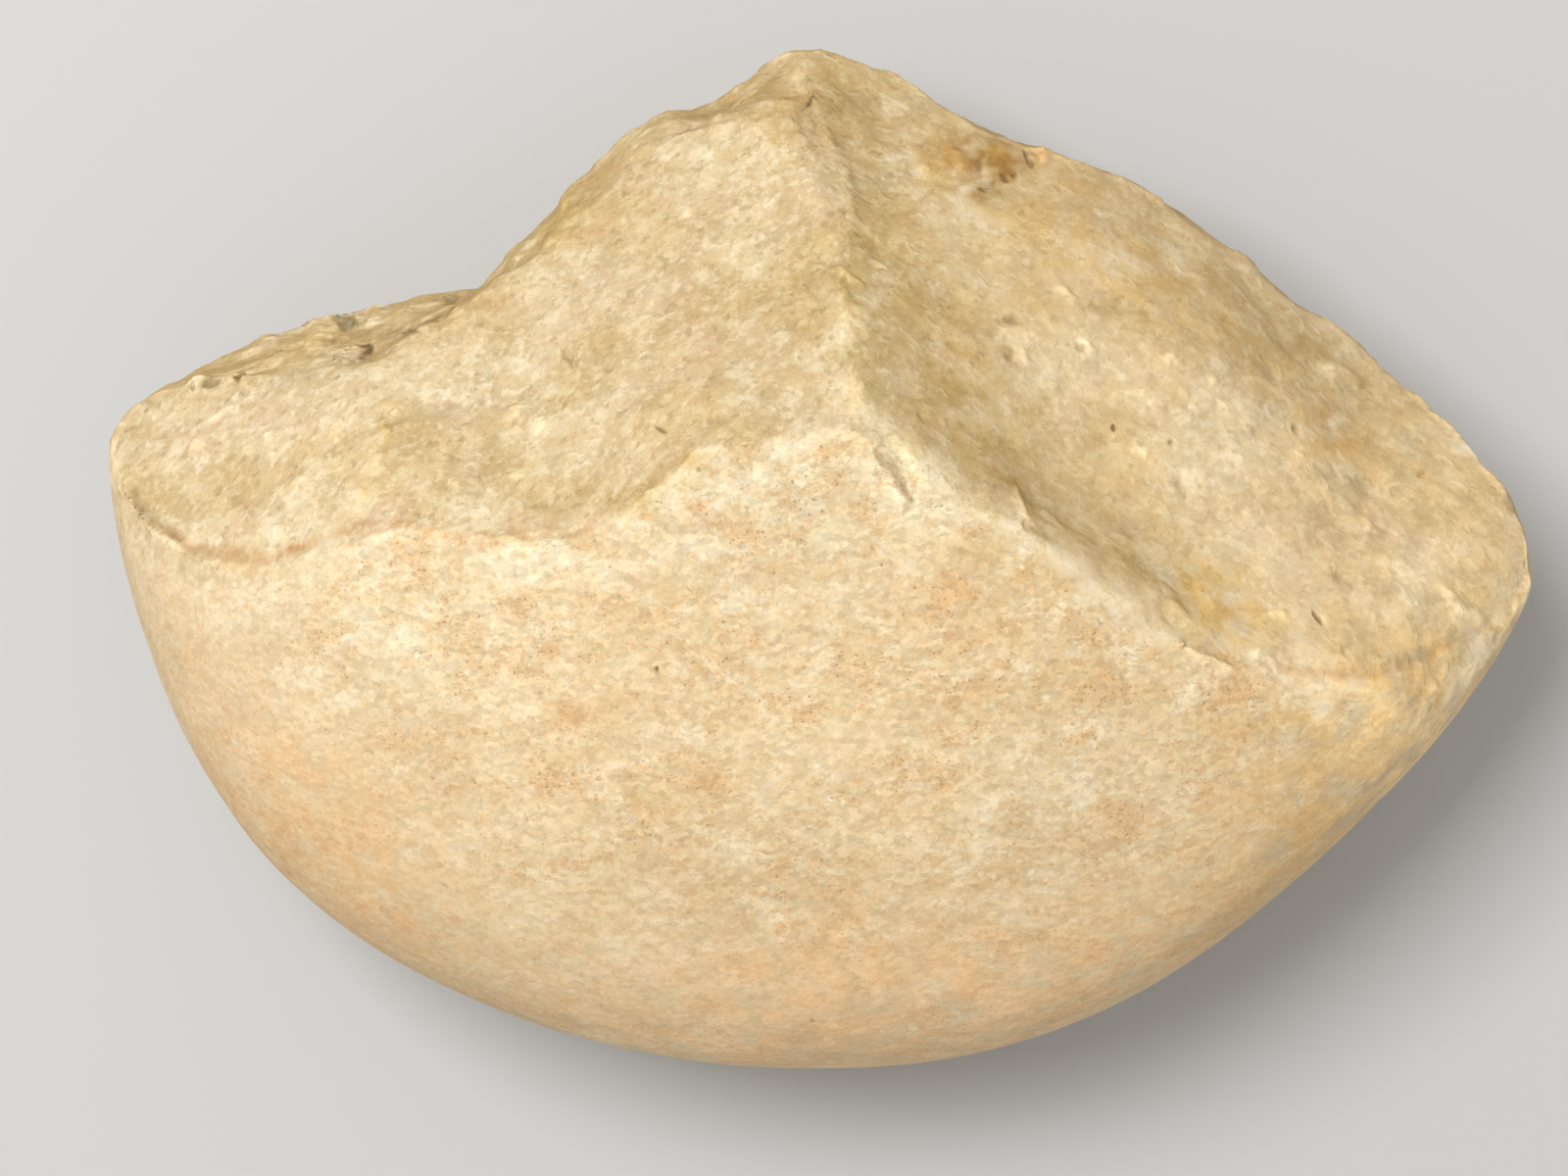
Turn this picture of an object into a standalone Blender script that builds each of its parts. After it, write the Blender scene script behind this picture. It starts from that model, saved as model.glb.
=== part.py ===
"""Pebble chopper: a water-worn cobble with large flakes struck off both faces along one side.

The stone lies on its back, with its round butt towards -Y and its struck edge towards +Y.
Lengths are in metres, +Z is up, and the origin is under the middle of the stone's box.
The carving is given as shares of the cobble's half sizes, so it follows the cobble.
"""
import math
from dataclasses import dataclass

import bmesh
import bpy
from mathutils import Matrix, Vector

MM = 0.001

# The cobble as the river left it
COBBLE_LENGTH = 124.6 * MM
COBBLE_BREADTH = 99.4 * MM
COBBLE_THICKNESS = 52.0 * MM
PLAN_FULLNESS = 2.0
SECTION_FULLNESS = 2.15
LEAN_DEG = 3.0
WEAR_SHARPNESS = 14

# The flat under the stone that it rests on
RESTING_FLAT_DEPTH = 0.7 * MM

HALF_LENGTH = COBBLE_LENGTH / 2
HALF_BREADTH = COBBLE_BREADTH / 2
HALF_THICKNESS = COBBLE_THICKNESS / 2
CUTTER_REACH = 1.25 * COBBLE_LENGTH

# Mesh detail
COBBLE_DIVISIONS = 5
BACK_SCAR_DIVISIONS = 5
FACES_ACROSS_CUTTER = 58
SHARP_EDGE_DEG = 20


@dataclass
class WornFace:
    """A side that the river wore nearly flat: where it faces, and its distance in half lengths."""
    bearing: float
    distance: float


@dataclass
class Swell:
    """A rounded rise or hollow in a scar, placed in plan. Lengths are shares of the half length."""
    x: float
    y: float
    along: float
    across: float
    turn: float
    height: float


@dataclass
class FrontScar:
    """A broad flake scar on the front: a tilted plane through one place, with its swells."""
    name: str
    at: tuple
    bearing: float
    tilt: float
    swells: tuple


@dataclass
class EdgeStop:
    """How far out the struck edge stands at one place along it, above, at and below its brink."""
    along: float
    above: float
    brink: float
    below: float


@dataclass
class StruckEdge:
    """The steep face that a run of small scars left, with the heights that its stops are given at."""
    name: str
    at: tuple
    bearing: float
    heights: tuple
    stops: tuple


@dataclass
class BackScar:
    """A shallow scoop on the back, cut by an egg shape with these half sizes."""
    name: str
    at: tuple
    bearing: float
    tilt: float
    across: float
    down: float
    through: float


# The egg of a back scar stands this share of its half size off the surface that it bites
SCAR_STANDS_OFF = 0.88

WORN_FACES = (
    WornFace(bearing=-46.0, distance=0.862),
    WornFace(bearing=196.0, distance=0.985),
)

FRONT_LEFT = FrontScar(
    "front_left", at=(0.022, 0.084, 0.98), bearing=115.0, tilt=38.5,
    swells=(
        Swell(x=-0.56, y=-0.03, along=0.25, across=0.125, turn=115.0, height=0.033),
        Swell(x=-0.155, y=0.04, along=0.21, across=0.10, turn=115.0, height=0.026),
        Swell(x=-0.32, y=-0.065, along=0.135, across=0.07, turn=115.0, height=-0.008),
        Swell(x=-0.86, y=-0.03, along=0.155, across=0.12, turn=115.0, height=-0.010),
        Swell(x=-0.04, y=0.48, along=0.195, across=0.195, turn=0.0, height=0.012),
    ),
)

FRONT_RIGHT = FrontScar(
    "front_right", at=(0.049, 0.084, 0.985), bearing=46.8, tilt=39.0,
    swells=(
        Swell(x=0.07, y=0.635, along=0.29, across=0.195, turn=90.0, height=-0.117),
        Swell(x=0.37, y=-0.01, along=0.25, across=0.115, turn=-40.0, height=-0.029),
        Swell(x=0.30, y=-0.125, along=0.195, across=0.08, turn=-38.0, height=0.031),
        Swell(x=0.485, y=0.14, along=0.35, across=0.125, turn=-52.0, height=0.044),
        Swell(x=0.66, y=-0.27, along=0.15, across=0.08, turn=-5.0, height=0.012),
        Swell(x=0.96, y=-0.06, along=0.20, across=0.18, turn=90.0, height=0.052),
        Swell(x=0.90, y=-0.28, along=0.09, across=0.08, turn=0.0, height=-0.045),
    ),
)

LEFT_EDGE = StruckEdge(
    "left_edge", at=(-0.457, 0.347), bearing=120.0, heights=(0.24, -0.12, -0.80),
    stops=(
        EdgeStop(-0.680, above=-0.160, brink=-0.140, below=-0.25),
        EdgeStop(-0.592, above=0.010, brink=0.024, below=-0.09),
        EdgeStop(-0.563, above=0.036, brink=0.048, below=-0.07),
        EdgeStop(-0.495, above=0.081, brink=0.096, below=-0.06),
        EdgeStop(-0.418, above=0.070, brink=0.101, below=-0.08),
        EdgeStop(-0.291, above=0.021, brink=0.087, below=-0.13),
        EdgeStop(-0.204, above=-0.006, brink=0.069, below=-0.165),
        EdgeStop(-0.136, above=-0.017, brink=0.048, below=-0.185),
        EdgeStop(-0.058, above=-0.021, brink=0.017, below=-0.195),
        EdgeStop(0.000, above=-0.020, brink=-0.007, below=-0.185),
        EdgeStop(0.078, above=-0.016, brink=0.030, below=-0.165),
        EdgeStop(0.185, above=-0.003, brink=0.072, below=-0.175),
        EdgeStop(0.272, above=0.008, brink=0.100, below=-0.195),
        EdgeStop(0.340, above=0.009, brink=0.073, below=-0.205),
        EdgeStop(0.398, above=0.000, brink=0.052, below=-0.195),
        EdgeStop(0.476, above=-0.031, brink=0.077, below=-0.185),
        EdgeStop(0.524, above=-0.058, brink=0.074, below=-0.195),
        EdgeStop(0.583, above=-0.117, brink=0.037, below=-0.245),
    ),
)

RIGHT_EDGE = StruckEdge(
    "right_edge", at=(0.548, 0.414), bearing=55.0, heights=(0.20, -0.14, -0.80),
    stops=(
        EdgeStop(-0.699, above=-0.218, brink=-0.209, below=-0.41),
        EdgeStop(-0.631, above=-0.124, brink=-0.107, below=-0.31),
        EdgeStop(-0.592, above=-0.108, brink=-0.091, below=-0.29),
        EdgeStop(-0.495, above=-0.082, brink=-0.066, below=-0.29),
        EdgeStop(-0.369, above=-0.083, brink=-0.070, below=-0.26),
        EdgeStop(-0.282, above=-0.056, brink=-0.045, below=-0.235),
        EdgeStop(-0.165, above=-0.015, brink=-0.003, below=-0.245),
        EdgeStop(0.058, above=-0.012, brink=0.003, below=-0.27),
        EdgeStop(0.146, above=-0.022, brink=-0.009, below=-0.245),
        EdgeStop(0.204, above=-0.008, brink=0.009, below=-0.235),
        EdgeStop(0.320, above=-0.027, brink=-0.014, below=-0.245),
        EdgeStop(0.447, above=-0.047, brink=-0.036, below=-0.27),
        EdgeStop(0.544, above=-0.081, brink=-0.070, below=-0.32),
        EdgeStop(0.592, above=-0.124, brink=-0.116, below=-0.37),
        EdgeStop(0.680, above=-0.262, brink=-0.252, below=-0.465),
    ),
)

BACK_SCARS = (
    BackScar("back_left", at=(-0.233, 0.389, -0.56), bearing=124.0, tilt=124.0,
             across=0.58, down=0.49, through=0.45),
    BackScar("back_hollow", at=(-0.505, 0.141, -0.58), bearing=112.0, tilt=128.0,
             across=0.49, down=0.49, through=0.41),
    BackScar("back_far_left", at=(-0.816, -0.028, -0.52), bearing=132.0, tilt=122.0,
             across=0.47, down=0.43, through=0.39),
    BackScar("back_right", at=(0.214, 0.409, -0.58), bearing=60.0, tilt=130.0,
             across=0.58, down=0.52, through=0.45),
    BackScar("back_far_right", at=(0.554, 0.111, -0.60), bearing=50.0, tilt=134.0,
             across=0.64, down=0.54, through=0.49),
    BackScar("back_end", at=(0.864, -0.158, -0.55), bearing=36.0, tilt=132.0,
             across=0.45, down=0.49, through=0.39),
)


def on_stone(x, y, z=0.0):
    """The point at these shares of the cobble's half sizes from its middle."""
    return Vector((x * HALF_LENGTH, y * HALF_BREADTH, z * HALF_THICKNESS))


def facing(bearing, tilt):
    """The direction in which a face looks, from its bearing in plan and its tilt from level."""
    flat = math.sin(math.radians(tilt))
    turn = math.radians(bearing)
    return Vector((flat * math.cos(turn), flat * math.sin(turn), math.cos(math.radians(tilt))))


def clear_scene():
    for old in list(bpy.data.objects):
        bpy.data.objects.remove(old)


def new_collection(name):
    made = bpy.data.collections.new(name)
    bpy.context.scene.collection.children.link(made)
    return made


def new_object(name, bm, home):
    """An object made of this mesh, with its faces looking out."""
    bmesh.ops.recalc_face_normals(bm, faces=bm.faces[:])
    if bm.calc_volume(signed=True) < 0:
        bmesh.ops.reverse_faces(bm, faces=bm.faces[:])
    mesh = bpy.data.meshes.new(name)
    bm.to_mesh(mesh)
    bm.free()
    made = bpy.data.objects.new(name, mesh)
    home.objects.link(made)
    return made


def cobble_reach(direction):
    """How far the unstruck cobble reaches from its middle in a unit direction."""
    body = Matrix.Rotation(math.radians(-LEAN_DEG), 3, "X") @ direction
    plan = abs(body.x / HALF_LENGTH) ** PLAN_FULLNESS + abs(body.y / HALF_BREADTH) ** PLAN_FULLNESS
    section = plan ** (SECTION_FULLNESS / PLAN_FULLNESS)
    section += abs(body.z / HALF_THICKNESS) ** SECTION_FULLNESS
    nearness = section ** (WEAR_SHARPNESS / SECTION_FULLNESS)
    for face in WORN_FACES:
        turned_to = max(0.0, facing(face.bearing, 90).dot(direction))
        nearness += (turned_to / (face.distance * HALF_LENGTH)) ** WEAR_SHARPNESS
    return nearness ** (-1 / WEAR_SHARPNESS)


def make_cobble(home):
    bm = bmesh.new()
    bmesh.ops.create_icosphere(bm, subdivisions=COBBLE_DIVISIONS, radius=1.0)
    for vert in bm.verts:
        direction = vert.co.normalized()
        vert.co = direction * cobble_reach(direction)
    return new_object("chopper", bm, home)


def sheet_cutter(name, middle, outward, rise, home):
    """A block whose lower side is a struck face. rise gives the face's height along outward."""
    across = outward.cross(Vector((0, 0, 1))).normalized()
    down = outward.cross(across)
    bm = bmesh.new()
    bmesh.ops.create_grid(
        bm, x_segments=FACES_ACROSS_CUTTER, y_segments=FACES_ACROSS_CUTTER, size=CUTTER_REACH / 2)
    for vert in bm.verts:
        place = middle + across * vert.co.x + down * vert.co.y
        vert.co = place + outward * rise(place, vert.co.x)
    block = bmesh.ops.extrude_face_region(bm, geom=bm.faces[:])
    lid = [part for part in block["geom"] if isinstance(part, bmesh.types.BMVert)]
    bmesh.ops.translate(bm, verts=lid, vec=outward * CUTTER_REACH)
    return new_object(name, bm, home)


def swell_height(swell, x, y):
    """The height that one swell adds at a place in plan, as a share of the half length."""
    turn = math.radians(swell.turn)
    dx = x - swell.x
    dy = y - swell.y
    run = (dx * math.cos(turn) + dy * math.sin(turn)) / swell.along
    side = (dy * math.cos(turn) - dx * math.sin(turn)) / swell.across
    return swell.height * math.exp(-(run * run + side * side))


def front_cutter(scar, home):
    def rise(place, _along):
        x = place.x / HALF_LENGTH
        y = place.y / HALF_LENGTH
        return HALF_LENGTH * sum(swell_height(swell, x, y) for swell in scar.swells)
    return sheet_cutter(scar.name, on_stone(*scar.at), facing(scar.bearing, scar.tilt), rise, home)


def between(low, high, at, from_value, to_value):
    return from_value + (to_value - from_value) * (at - low) / (high - low)


def stop_at(stops, along):
    """The edge at any place along it, on straight runs from stop to stop."""
    if along <= stops[0].along:
        return stops[0]
    for low, high in zip(stops, stops[1:]):
        if along <= high.along:
            ends = (low.along, high.along, along)
            return EdgeStop(
                along,
                above=between(*ends, low.above, high.above),
                brink=between(*ends, low.brink, high.brink),
                below=between(*ends, low.below, high.below))
    return stops[-1]


def edge_cutter(edge, home):
    above, brink, below = edge.heights
    def rise(place, along):
        stop = stop_at(edge.stops, along / HALF_LENGTH)
        level = place.z / HALF_THICKNESS
        if level > brink:
            return HALF_LENGTH * between(brink, above, level, stop.brink, stop.above)
        return HALF_LENGTH * between(brink, below, level, stop.brink, stop.below)
    return sheet_cutter(edge.name, on_stone(*edge.at), facing(edge.bearing, 90), rise, home)


def back_cutter(scar, home):
    outward = facing(scar.bearing, scar.tilt)
    across = outward.cross(Vector((0, 0, 1))).normalized()
    down = outward.cross(across)
    middle = on_stone(*scar.at) + outward * (scar.through * HALF_LENGTH * SCAR_STANDS_OFF)
    bm = bmesh.new()
    bmesh.ops.create_icosphere(bm, subdivisions=BACK_SCAR_DIVISIONS, radius=HALF_LENGTH)
    for vert in bm.verts:
        x, y, z = vert.co
        in_plane = across * (x * scar.across) + down * (y * scar.down)
        vert.co = middle + in_plane + outward * (z * scar.through)
    return new_object(scar.name, bm, home)


def resting_cutter(stone, home):
    """A block that planes off the lowest part of the back."""
    lowest = min(vert.co.z for vert in stone.data.vertices)
    bm = bmesh.new()
    bmesh.ops.create_cube(bm, size=CUTTER_REACH)
    sunk = lowest + RESTING_FLAT_DEPTH - CUTTER_REACH / 2
    bmesh.ops.translate(bm, verts=bm.verts, vec=(0, 0, sunk))
    return new_object("resting_flat", bm, home)


def cut(stone, cutter):
    taken = stone.modifiers.new(cutter.name, "BOOLEAN")
    taken.operation = "DIFFERENCE"
    taken.solver = "EXACT"
    taken.object = cutter
    cutter.hide_render = True
    cutter.display_type = "WIRE"


def settle(stone):
    """Applies the cuts and moves the stone so that the origin is under the middle of its box."""
    graph = bpy.context.evaluated_depsgraph_get()
    struck = bpy.data.meshes.new_from_object(stone.evaluated_get(graph))
    stone.modifiers.clear()
    stone.data = struck
    points = [vert.co for vert in struck.vertices]
    low = Vector(map(min, zip(*points)))
    high = Vector(map(max, zip(*points)))
    under_middle = Vector(((low.x + high.x) / 2, (low.y + high.y) / 2, low.z))
    struck.transform(Matrix.Translation(-under_middle))


def quartzite():
    material = bpy.data.materials.new("quartzite")
    material.use_nodes = True
    shader = material.node_tree.nodes["Principled BSDF"]
    shader.inputs["Base Color"].default_value = (0.68, 0.53, 0.33, 1.0)
    shader.inputs["Roughness"].default_value = 0.75
    shader.inputs["Metallic"].default_value = 0.0
    return material


def finish(stone):
    stone.data.materials.clear()
    stone.data.materials.append(quartzite())
    stone.data.shade_smooth()
    stone.data.set_sharp_from_angle(angle=math.radians(SHARP_EDGE_DEG))


def main():
    clear_scene()
    stone_home = new_collection("pebble_chopper")
    cutter_home = new_collection("cutters")
    stone = make_cobble(stone_home)
    for scar in (FRONT_LEFT, FRONT_RIGHT):
        cut(stone, front_cutter(scar, cutter_home))
    for edge in (LEFT_EDGE, RIGHT_EDGE):
        cut(stone, edge_cutter(edge, cutter_home))
    for scar in BACK_SCARS:
        cut(stone, back_cutter(scar, cutter_home))
    cut(stone, resting_cutter(stone, cutter_home))
    settle(stone)
    finish(stone)


main()
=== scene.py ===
"""Dresses the pebble chopper: its fine relief and finish, the floor, the light and the camera.

Lengths are in metres and +Z is up. The stone lies on its back and the camera looks straight down.
Marks and stains on the front are placed in plan, in millimetres, as the camera sees them.
"""
import math
from dataclasses import dataclass

import bmesh
import bpy
import numpy as np
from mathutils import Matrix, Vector, noise
from mathutils.bvhtree import BVHTree
from mathutils.kdtree import KDTree


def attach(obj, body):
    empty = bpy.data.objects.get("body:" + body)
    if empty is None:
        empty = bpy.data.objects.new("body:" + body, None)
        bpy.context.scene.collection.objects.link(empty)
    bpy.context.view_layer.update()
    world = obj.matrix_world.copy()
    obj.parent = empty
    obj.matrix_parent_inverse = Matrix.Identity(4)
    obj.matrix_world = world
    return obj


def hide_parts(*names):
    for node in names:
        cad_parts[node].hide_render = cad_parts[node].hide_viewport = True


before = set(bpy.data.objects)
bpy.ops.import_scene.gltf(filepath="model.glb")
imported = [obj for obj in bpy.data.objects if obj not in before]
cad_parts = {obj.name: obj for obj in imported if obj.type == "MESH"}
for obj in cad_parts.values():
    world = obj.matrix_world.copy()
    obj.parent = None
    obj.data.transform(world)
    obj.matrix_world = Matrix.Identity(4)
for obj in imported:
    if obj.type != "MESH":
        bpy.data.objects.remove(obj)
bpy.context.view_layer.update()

MM = 0.001

# The cobble before anything was struck off it, where the solid has it
COBBLE_MIDDLE = np.array((-0.01, 6.25, 25.45)) * MM
COBBLE_HALF = np.array((62.3, 49.7, 26.0)) * MM
PLAN_FULLNESS = 2.0
SECTION_FULLNESS = 2.15
LEAN_DEG = 3.0
WEAR_SHARPNESS = 14
WORN_FACES = ((-46.0, 0.862), (196.0, 0.985))

# The middle of the stone as it lies, from which the fine mesh is laid out on the solid
HEART = Vector((0.0, -3.0, 29.0)) * MM

# Deeper than this under the cobble's own surface, in millimetres, the stone counts as struck
STRUCK_DEPTH = 0.28

# The fine mesh: spacings of its points and the rooms round what needs a fine one, in millimetres
FACES_ALONG_CUBE = 60
SPLITS = 4
COARSE_SHARE = 1.35
RIND_SPACING = 1.5
BACK_SPACING = 1.0
FRONT_SPACING = 0.6
FINEST_SPACING = 0.13
COARSEST_AT_MARKS = 0.27
SPACING_BY_WIDTH = 0.5
ROOM_BY_WIDTH = 1.5
LEAST_ROOM = 0.25
BORDER_ROOM = 3.0

# How far wear rounds off the solid's edges, in millimetres, and how it is worked out
MOST_WEAR_ROUNDS = 70
FINEST_PERCENT = 5
USUAL_EASE = 0.8
MOST_EASE = 0.9
WEAR_REACH = 1.3
BORDER_WEAR_REACH = 2.8
CREST_REACH = 2.2
FINE_CREST_REACH = 0.8

# The ridge between the two front scars in plan, and how each blow drew out its scar's grain
RIDGE_Y = (9.5, 12.2, 14.6, 18.7, 24.6, 29.0, 33.1, 36.4, 37.5, 43.0)
RIDGE_X = (4.0, 3.1, 2.3, 2.2, 2.2, 2.0, 1.1, 0.0, -0.9, -1.6)
LEFT_GRAIN_TURN = 52
RIGHT_GRAIN_TURN = -38
GRAIN_STRETCH = 1.25

# Unevenness in layers, each with its height and its size in millimetres and a seed of its own
RIND_SWELLS = ((0.10, 13.0, 0.0), (0.05, 5.5, 3.1), (0.02, 2.6, 6.1))
FRONT_SWELLS = ((0.34, 11.0, 1.7),)
SCAR_SWELLS = ((0.14, 4.6, 5.2), (0.04, 1.6, 8.4))
SCAR_PLATES = ((0.08, 5.2, 2.2, 0.20), (0.04, 2.3, 4.3, 0.35))
EDGE_SWELLS = ((0.10, 1.5, 7.7), (0.16, 3.2, 9.9))
BOWL_DEPTH = 0.70
BOWL_SIZE = 6.5
BOWL_RAISE = 0.20
EDGE_PLATE_HEIGHT = 0.16
EDGE_PLATE_SIZE = 3.0
CHIP_DEPTH = 0.26
CHIP_SIZE = 2.2
NICK_DEPTH = 0.45
WANDERING = ((0.42, 1.9, 6.6, 4.9), (0.16, 0.7, 2.8, 8.1))

# The camera, straight over the stone
CAMERA_X = -3.107 * MM
CAMERA_Y = -2.568 * MM
CAMERA_HEIGHT = 426 * MM
SENSOR_WIDTH = 36.0
CAMERA_LENS = 108.63

# One soft light from the upper left, and a pale room
KEY_PLACE = (-0.22, 0.16, 0.66)
KEY_SIZE = 0.28
KEY_WATTS = 3.95
KEY_COLOUR = (1.0, 0.995, 0.985)
ROOM_COLOUR = (1.0, 0.965, 0.915, 1.0)
ROOM_STRENGTH = 0.57
FLOOR_GREY = (0.54, 0.545, 0.55, 1.0)
FLOOR_HALF = 3.0
FLOOR_ROUGHNESS = 0.9


@dataclass
class Stroke:
    """A small mark on the front, along a path in plan. Height is negative for a pit or a cut.

    With a fall, the mark is a small step instead: the side to the left of the path stands up,
    and slopes away over about that distance.
    """
    name: str
    path: tuple
    width: float
    height: float
    tone: tuple
    strength: float
    fall: float = 0.0


@dataclass
class Stain:
    """A soft patch of another colour on the front, with half sizes along and across its turn."""
    name: str
    at: tuple
    along: float
    across: float
    turn: float
    tone: tuple
    strength: float


# Tones of marks and stains, as factors on the stone's own colour
# dark brown, and below it dark green, laid into pits, holes and clefts
PIT_DARK = (0.34, 0.27, 0.16)
# painted shade in the groove, tinted brown
GROOVE_SHADE = (0.50, 0.42, 0.29)
HOLE_GREEN_DARK = (0.30, 0.30, 0.20)
SHADE = (0.74, 0.70, 0.62)
# the stone's paler flecks and crushed rims, and also painted highlight on lips, streaks and rims that
# face the light
PALE_AND_HIGHLIGHT = (1.17, 1.19, 1.22)
ROSE = (0.97, 0.88, 0.80)
RUSSET = (0.62, 0.42, 0.27)
RUSSET_SOFT = (0.88, 0.76, 0.65)
GREY = (0.66, 0.66, 0.62)
OLIVE = (0.84, 0.81, 0.64)
OCHRE = (0.98, 0.90, 0.68)

# Painted shade, tinted olive, in a strip beside the ridge on the side away from the light: distances in
# millimetres
RIDGE_SHADE_STRENGTH = 0.35
RIDGE_SHADE_WIDTH = (9.0, 3.0)
RIDGE_SHADE_START = (9.0, 13.0)

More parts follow.
